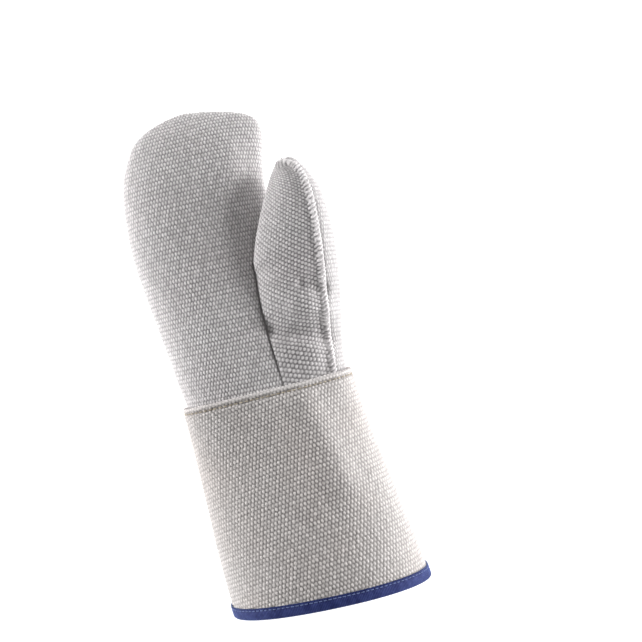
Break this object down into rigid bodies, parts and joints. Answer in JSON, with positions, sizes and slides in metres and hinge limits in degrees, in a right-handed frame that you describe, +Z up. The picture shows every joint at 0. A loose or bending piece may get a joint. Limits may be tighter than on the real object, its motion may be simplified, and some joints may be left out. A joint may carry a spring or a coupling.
{
  "type": "heat resistant mitten",
  "caption": "Long-cuffed woven mitten lying palm up: palm, thumb and back panels, flared gauntlet cuff and a tape-bound hem.",
  "frame": {"origin": "centre of the bounding box in X and Y, on the ground the mitten lies on", "axes": "+Y along the mitten from the hem to the finger tips, +X across it to the thumb side, +Z up, out of the palm"},
  "size_m": [0.1548, 0.3804, 0.0849],
  "materials": {
    "hand_cloth": "coarse woven, matt",
    "cuff_cloth": "coarse woven, matt",
    "hem_tape": "ribbed tape, slight sheen"
  },
  "bodies": {
    "root": {"palm_panel": "hand_cloth", "thumb_panel": "hand_cloth", "back_panel": "hand_cloth", "cuff": "cuff_cloth", "hem_binding": "hem_tape"}
  },
  "joints": []
}
